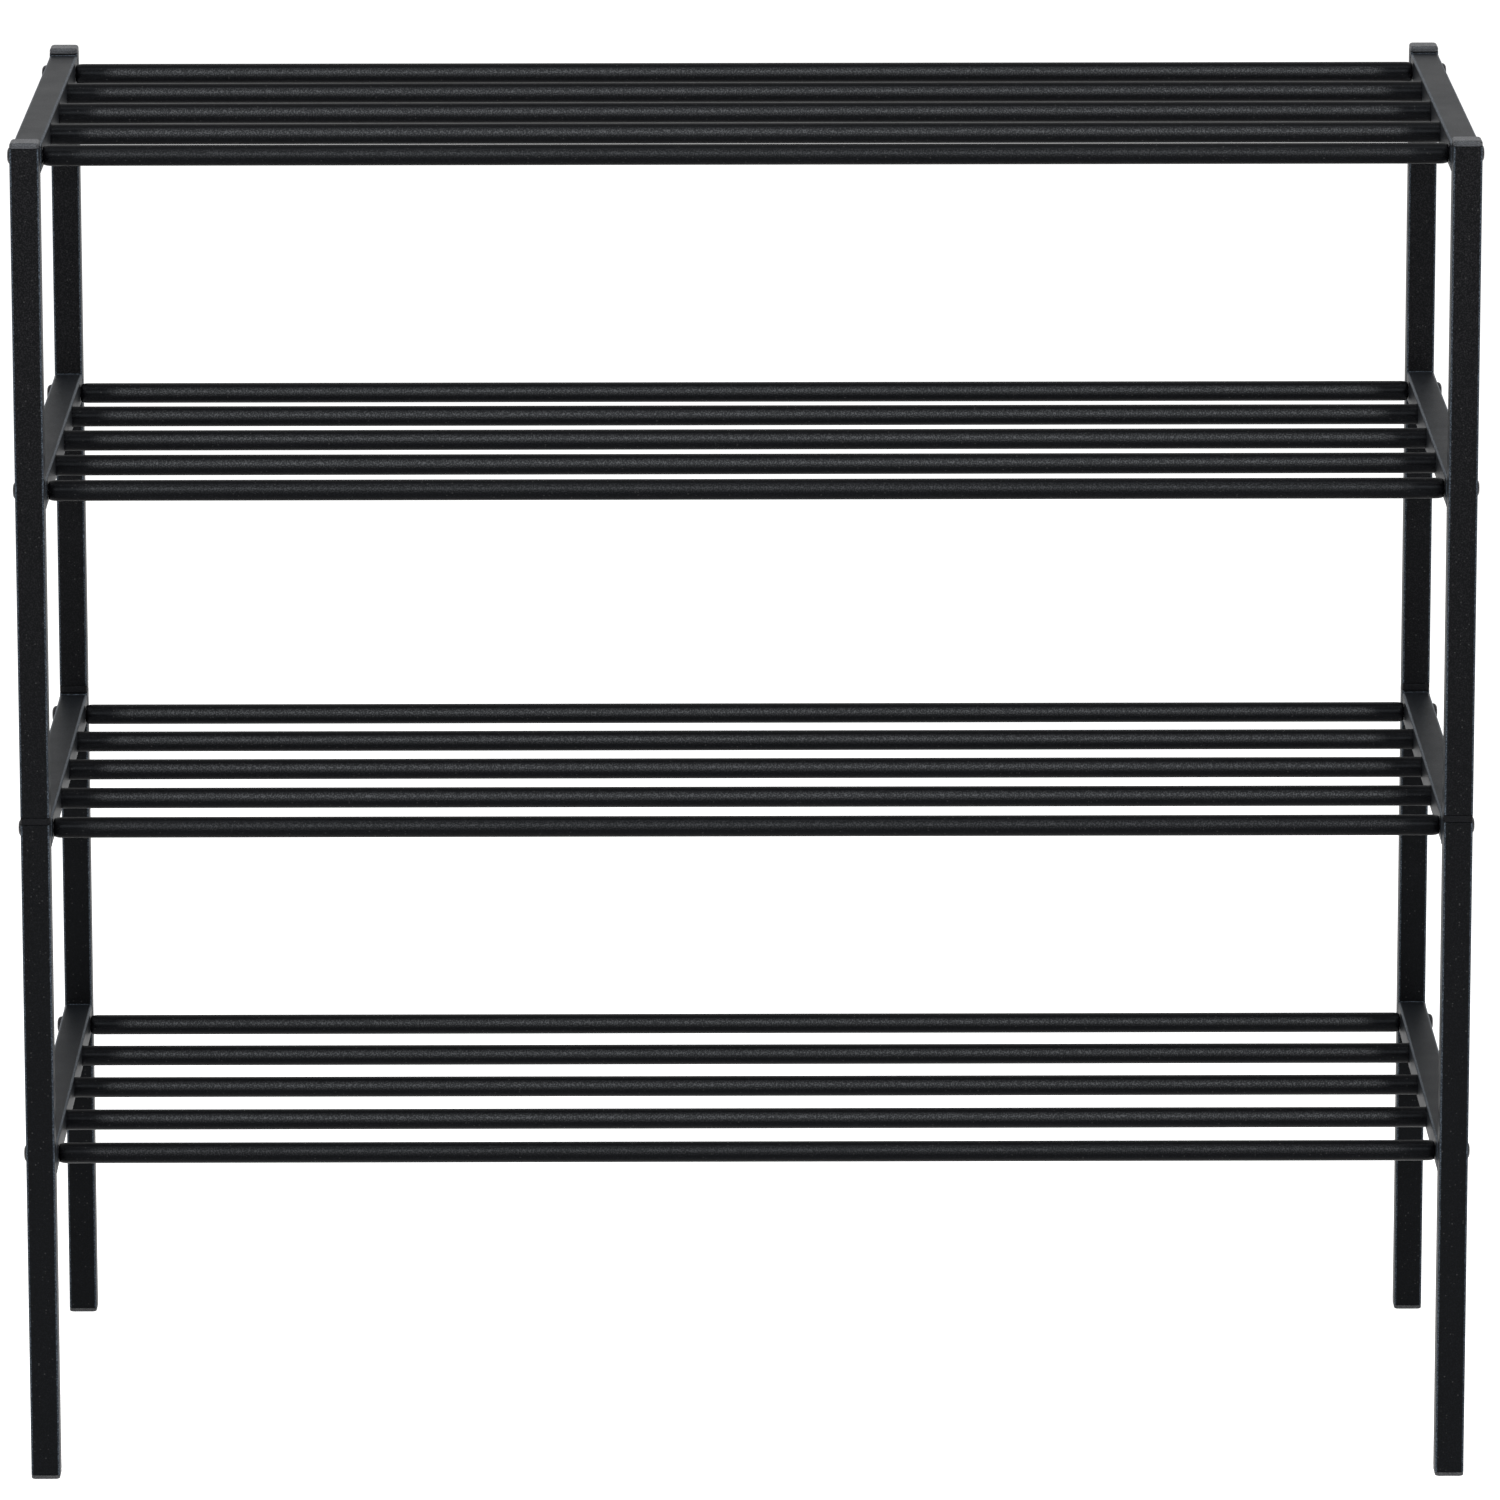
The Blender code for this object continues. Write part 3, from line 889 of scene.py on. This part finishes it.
def floor_material(stage):
    """Pale floor that is lit by the lamps and lifted to white where it is seen."""
    material, tree, shader = new_material("pale_floor")
    lift = computed(tree, (-200, -200), "MULTIPLY", seen_mask(tree), stage.floor_lift)
    shader.inputs["Base Color"].default_value = (*stage.floor_colour, 1)
    shader.inputs["Roughness"].default_value = FLOOR_ROUGHNESS
    shader.inputs["Specular IOR Level"].default_value = 0.0
    shader.inputs["Emission Color"].default_value = (1, 1, 1, 1)
    tree.links.new(lift, shader.inputs["Emission Strength"])
    return material


# ---------------------------------------------------------------- pieces


class RACK_OT_side_frames(bpy.types.Operator):
    """Model the four side frames of square tube, drilled for the rods and bolts"""

    bl_idname = "rack.side_frames"
    bl_label = "Side frames"

    def execute(self, context):
        sizes = context.scene.rack_sizes
        low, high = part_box("lower_left_frame")
        tube = cad_tube_side()
        posts = []
        for end, side_y in ENDS.items():
            y = low.y if side_y < 0 else high.y - tube
            start = Vector((low.x, y, low.z))
            stop = start + Vector((tube, tube, high.z - low.z))
            posts.append(add_tube(f"{end}_post", start, stop, 2, sizes))
        rails = []
        reach = tube - sizes.tube_wall / 2
        for tier in SECTION_TIERS:
            z = middle(f"tier_{tier}_rod_2").z
            start = Vector((low.x, low.y + reach, z - tube / 2))
            stop = Vector((high.x, high.y - reach, z + tube / 2))
            rails.append(add_tube(f"rail_{tier}", start, stop, 1, sizes))
        master = join(posts)
        combine(master, join(rails), "UNION")
        combine(master, self.drills(sizes, low, high), "DIFFERENCE")
        smooth(master)
        place_on_frames(master, "side_frame", frame_material(context.scene.rack_finish), replacing=True)
        return {"FINISHED"}

    def drills(self, sizes, low, high):
        """Cylinders for the bolt holes and for the rod holes of the inner wall."""
        drills = []
        half = (high.x - low.x) / 2
        for tier in SECTION_TIERS:
            for rod in RODS:
                centre = middle(f"tier_{tier}_rod_{rod}")
                bolted = rod in BOLTED_RODS
                start = low.x - half if bolted else low.x + half
                across = sizes.bolt_diameter if bolted else cad_rod_diameter()
                radius = across / 2 + sizes.clearance
                drill = add_cross_bar(
                    "drill", sizes.turned_steps, radius, start, high.x + half, centre.y, centre.z
                )
                drills.append(drill)
        return join(drills)


class RACK_OT_welds(bpy.types.Operator):
    """Model the weld beads where the rails meet the posts"""

    bl_idname = "rack.welds"
    bl_label = "Weld beads"

    def execute(self, context):
        sizes = context.scene.rack_sizes
        low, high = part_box("lower_left_frame")
        tube = cad_tube_side()
        beads = []
        for tier in SECTION_TIERS:
            z = middle(f"tier_{tier}_rod_2").z
            for y in (low.y + tube, high.y - tube):
                centre = Vector(((low.x + high.x) / 2, y, z))
                beads.append(self.bead(sizes, centre, tube))
        master = join(beads)
        smooth(master, degrees=80)
        material = frame_material(context.scene.rack_finish, "weld_coat_painted_sheen", depth_share=1.0)
        place_on_frames(master, "welds", material, replacing=False)
        return {"FINISHED"}

    def bead(self, sizes, centre, tube):
        """One bead round the end of a rail."""
        radius = sizes.weld_radius
        side = tube - 2 * WELD_SINK * radius
        bpy.ops.object.select_all(action="DESELECT")
        bpy.ops.mesh.primitive_plane_add(size=side, location=centre, rotation=(math.pi / 2, 0, 0))
        bead = new_primitive("bead")
        start_edit(bead)
        bpy.ops.mesh.select_all(action="SELECT")
        bpy.ops.mesh.bevel(offset=sizes.tube_corner, segments=WELD_SEGMENTS, affect="VERTICES")
        bpy.ops.mesh.delete(type="ONLY_FACE")
        bpy.ops.mesh.select_all(action="SELECT")
        bpy.ops.mesh.subdivide(number_cuts=WELD_CUTS)
        end_edit()
        bpy.ops.object.convert(target="CURVE")
        bead.data.bevel_depth = radius
        bead.data.bevel_resolution = 2
        bpy.ops.object.convert(target="MESH")
        start_edit(bead)
        bpy.ops.mesh.select_all(action="SELECT")
        bpy.ops.mesh.subdivide(number_cuts=WELD_CUTS)
        bpy.ops.mesh.normals_make_consistent(inside=False)
        end_edit()
        ripple = bpy.data.textures.new("weld_ripple", "CLOUDS")
        ripple.noise_scale = WELD_RIPPLE_SIZE
        modifier = bead.modifiers.new("ripple", "DISPLACE")
        modifier.texture = ripple
        modifier.texture_coords = "LOCAL"
        modifier.strength = sizes.weld_ripple
        modifier.mid_level = WELD_RIPPLE_LEVEL
        select_only(bead)
        bpy.ops.object.modifier_apply(modifier=modifier.name)
        return bead


class RACK_OT_rods(bpy.types.Operator):
    """Model the round rods: bolted ones with closed-in ends and plugged ones"""

    bl_idname = "rack.rods"
    bl_label = "Rods"

    def execute(self, context):
        sizes = context.scene.rack_sizes
        end_wall = max(sizes.rod_wall, sizes.end_drop + ROD_BORE_MARGIN)
        edge = sizes.rod_wall / 3
        bolted_outline = self.outline("tier_1_rod_1", sizes.end_length, sizes.end_drop, end_wall)
        plugged_outline = self.outline("tier_1_rod_2", edge, edge, sizes.rod_wall)
        bolted = add_turned("bolted_rod", bolted_outline, sizes.turned_steps, closed=True)
        plugged = add_turned("plugged_rod", plugged_outline, sizes.turned_steps, closed=True)
        smooth(bolted)
        smooth(plugged)
        material = rod_material(context.scene.rack_finish)
        for tier in TIERS:
            for rod in RODS:
                master = bolted if rod in BOLTED_RODS else plugged
                node = f"tier_{tier}_rod_{rod}"
                piece = place_copy(master, f"rod_{tier}_{rod}", Matrix.Translation(middle(node)))
                finish_piece(piece, material, "rod_powder_coat", node)
        remove(bolted)
        remove(plugged)
        return {"FINISHED"}

    def outline(self, node, length, drop, wall):
        """Closed outline of a rod's wall, each end rounded over a length and a drop."""
        half = extent(node).x / 2
        radius = cad_rod_diameter() / 2
        outside = []
        for step in range(QUARTER_STEPS + 1):
            angle = step * math.pi / 2 / QUARTER_STEPS
            x = half - length * (1 - math.sin(angle))
            outside.append((x, radius - drop * (1 - math.cos(angle))))
        bore = radius - wall
        return [(-x, r) for x, r in outside[::-1]] + outside + [(half, bore), (-half, bore)]


class RACK_OT_bolts(bpy.types.Operator):
    """Model the button-head socket bolts"""

    bl_idname = "rack.bolts"
    bl_label = "Bolts"

    def execute(self, context):
        sizes = context.scene.rack_sizes
        low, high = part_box("tier_1_front_right_bolt")
        head = (high.z - low.z) / 2
        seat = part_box("lower_right_frame")[1].x + sizes.clearance
        top = high.x - seat
        master = add_turned("bolt", self.outline(sizes, low.x - seat, head, top), sizes.turned_steps)
        depth = sizes.socket_depth
        socket = add_cross_bar("socket", 6, sizes.socket / math.sqrt(3), top - depth, top + depth)
        combine(master, socket, "DIFFERENCE")
        smooth(master, degrees=30)
        material = bolt_material(context.scene.rack_finish)
        for tier in TIERS:
            for end in ENDS:
                for side, sign in SIDES.items():
                    node = f"tier_{tier}_{end}_{side}_bolt"
                    centre = middle(node)
                    move = Matrix.Translation((sign * seat, centre.y, centre.z))
                    placing = move @ half_turn(side == "left")
                    piece = place_copy(master, f"bolt_{tier}_{end}_{side}", placing)
                    finish_piece(piece, material, "black_bolt", node)
        remove(master)
        return {"FINISHED"}

    def outline(self, sizes, tip, head, top):
        """Outline from the tip of the shank over the domed head to its middle."""
        shank = sizes.bolt_diameter / 2
        points = [(tip, 0), (tip, shank - BOLT_TIP_BEVEL), (tip + BOLT_TIP_BEVEL, shank), (0, shank)]
        points += [(0, head - BOLT_RIM_BEVEL), (BOLT_RIM_BEVEL, head), (BOLT_RIM, head)]
        for step in range(1, QUARTER_STEPS):
            angle = step * math.pi / 2 / QUARTER_STEPS
            x = BOLT_RIM + (top - BOLT_RIM) * math.sin(angle)
            points.append((x, BOLT_FLAT + (head - BOLT_FLAT) * math.cos(angle)))
        points += [(top, BOLT_FLAT), (top, 0)]
        return points


class RACK_OT_top_caps(bpy.types.Operator):
    """Model the caps on the four post tops"""

    bl_idname = "rack.top_caps"
    bl_label = "Top caps"

    def execute(self, context):
        sizes = context.scene.rack_sizes
        finish = context.scene.rack_finish
        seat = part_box("upper_left_frame")[1].z + sizes.clearance
        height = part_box("front_left_top_cap")[1].z - seat
        master = add_plug_cap("cap", height, sizes.cap_edge, sizes)
        smooth(master)
        material = plastic_material(
            "cap_plastic_painted_sheen", finish, finish.cap_colour, roughness=0.5, gloss=finish.plastic_gloss
        )
        place_on_posts(master, "cap", material, "cap_plastic", "top_cap", seat)
        return {"FINISHED"}


class RACK_OT_feet(bpy.types.Operator):
    """Model the foot caps under the four posts"""

    bl_idname = "rack.feet"
    bl_label = "Feet"

    def execute(self, context):
        sizes = context.scene.rack_sizes
        finish = context.scene.rack_finish
        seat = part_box("lower_left_frame")[0].z - sizes.clearance
        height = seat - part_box("front_left_foot")[0].z
        master = add_plug_cap("foot", height, sizes.foot_edge, sizes)
        smooth(master)
        material = plastic_material(
            "foot_plastic_painted_sheen", finish, finish.foot_colour, roughness=0.6, gloss=finish.plastic_gloss
        )
        upside_down = Matrix.Rotation(math.pi, 4, "X")
        place_on_posts(master, "foot", material, "foot_plastic", "foot", seat, upside_down)
        return {"FINISHED"}


class RACK_OT_couplers(bpy.types.Operator):
    """Model the couplers between the lower and the upper posts"""

    bl_idname = "rack.couplers"
    bl_label = "Couplers"

    def execute(self, context):
        sizes = context.scene.rack_sizes
        finish = context.scene.rack_finish
        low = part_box("lower_left_frame")[1].z + sizes.clearance
        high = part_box("upper_left_frame")[0].z - sizes.clearance
        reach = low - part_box("front_left_coupler")[0].z
        half = cad_tube_side() / 2
        master = add_box("coupler", (-half, -half, low), (half, half, high))
        start_edit(master)
        pick(master, "EDGE", lambda edge: runs_along(edge, 2))
        bpy.ops.mesh.bevel(offset=sizes.plastic_corner, segments=PLASTIC_SEGMENTS, affect="EDGES")
        for z, way in ((low, -1), (high, 1)):
            pick(master, "EDGE", lambda edge: lies_at(edge, 2, z))
            bpy.ops.mesh.bevel(offset=COUPLER_EDGE, segments=2, affect="EDGES")
            pick(master, "FACE", lambda face: face.normal.z * way > ALIGNED and lies_at(face, 2, z))
            bpy.ops.mesh.inset(thickness=sizes.tube_wall + sizes.clearance - COUPLER_EDGE)
            bpy.ops.mesh.extrude_region_move(TRANSFORM_OT_translate={"value": (0, 0, way * reach)})
        end_edit()
        smooth(master)
        material = plastic_material(
            "coupler_plastic_painted_sheen", finish, finish.coupler_colour, roughness=0.5, gloss=finish.frame_gloss
        )
        place_on_posts(master, "coupler_ring", material, "coupler_plastic", "coupler", 0)
        return {"FINISHED"}


# ---------------------------------------------------------------- stage


class RACK_OT_stage(bpy.types.Operator):
    """Set up the camera, the floor, the lamps and the surroundings"""

    bl_idname = "rack.stage"
    bl_label = "Stage"

    def execute(self, context):
        stage = context.scene.rack_stage
        context.scene.view_settings.view_transform = "Standard"
        self.camera(context, stage)
        self.floor(stage)
        self.surroundings(context, stage)
        self.lamp("key", stage.key_place, stage.key_size, stage.key_power, stage.lamp_aim)
        self.lamp("top", stage.top_place, stage.top_size, stage.top_power, stage.lamp_aim)
        return {"FINISHED"}

    def camera(self, context, stage):
        """Long-lens camera in front, looking slightly down."""
        camera = bpy.data.objects.new("camera", bpy.data.cameras.new("camera"))
        context.collection.objects.link(camera)
        turn = Matrix.Rotation(-stage.camera_yaw, 4, "Z")
        tilt = Matrix.Rotation(math.pi / 2 - stage.camera_pitch, 4, "X")
        roll = Matrix.Rotation(-stage.camera_roll, 4, "Z")
        camera.matrix_world = Matrix.Translation(stage.camera_place) @ turn @ tilt @ roll
        camera.data.sensor_width = SENSOR_WIDTH
        camera.data.lens = stage.lens
        camera.data.shift_y = stage.shift_y
        camera.data.clip_end = CLIP_END
        context.scene.camera = camera

    def floor(self, stage):
        """Wide pale floor under the feet."""
        bpy.ops.object.select_all(action="DESELECT")
        bpy.ops.mesh.primitive_plane_add(size=stage.floor_size, location=(0, 0, 0))
        floor = new_primitive("floor")
        floor.data.materials.append(floor_material(stage))

    def surroundings(self, context, stage):
        """White where it is seen or reflected, softer as light."""
        world = bpy.data.worlds.new("studio")
        context.scene.world = world
        world.use_nodes = True
        tree = world.node_tree
        background = tree.nodes["Background"]
        background.inputs["Color"].default_value = (1, 1, 1, 1)
        strength = mapped(tree, (-200, 0), seen_mask(tree), results=(stage.ambient, 1.0))
        tree.links.new(strength, background.inputs["Strength"])

    def lamp(self, name, place, size, power, aim):
        """Rectangular soft lamp aimed at the rack."""
        light = bpy.data.lights.new(name, "AREA")
        light.shape = "RECTANGLE"
        light.size, light.size_y = size
        light.energy = power
        lamp = bpy.data.objects.new(name, light)
        lamp.visible_camera = False
        bpy.context.collection.objects.link(lamp)
        lamp.location = place
        way = Vector(aim) - Vector(place)
        lamp.rotation_euler = way.to_track_quat("-Z", "Y").to_euler()


# ---------------------------------------------------------------- panel and registration


OPERATORS = (
    RACK_OT_side_frames,
    RACK_OT_welds,
    RACK_OT_rods,
    RACK_OT_bolts,
    RACK_OT_top_caps,
    RACK_OT_feet,
    RACK_OT_couplers,
    RACK_OT_stage,
)


class RACK_PT_panel(bpy.types.Panel):
    """Sizes, finishes and the steps that build the rack"""

    bl_idname = "RACK_PT_panel"
    bl_label = "Shoe rack"
    bl_space_type = "VIEW_3D"
    bl_region_type = "UI"
    bl_category = "Shoe rack"

    def draw(self, context):
        scene = context.scene
        for group in (scene.rack_sizes, scene.rack_finish, scene.rack_stage):
            box = self.layout.box()
            for name in group.__annotations__:
                box.prop(group, name)
        for operator in OPERATORS:
            self.layout.operator(operator.bl_idname)


CLASSES = (RackSizes, RackFinish, RackStage, *OPERATORS, RACK_PT_panel)


def register():
    """Register the classes and hang the properties on the scene."""
    for cls in CLASSES:
        bpy.utils.register_class(cls)
    bpy.types.Scene.rack_sizes = PointerProperty(type=RackSizes)
    bpy.types.Scene.rack_finish = PointerProperty(type=RackFinish)
    bpy.types.Scene.rack_stage = PointerProperty(type=RackStage)


def unregister():
    """Take the properties off the scene and unregister the classes."""
    del bpy.types.Scene.rack_stage
    del bpy.types.Scene.rack_finish
    del bpy.types.Scene.rack_sizes
    for cls in reversed(CLASSES):
        bpy.utils.unregister_class(cls)


def main():
    """Build every piece and the stage."""
    register()
    bpy.ops.rack.side_frames()
    bpy.ops.rack.welds()
    bpy.ops.rack.rods()
    bpy.ops.rack.bolts()
    bpy.ops.rack.top_caps()
    bpy.ops.rack.feet()
    bpy.ops.rack.couplers()
    bpy.ops.rack.stage()


if __name__ == "__main__":
    main()
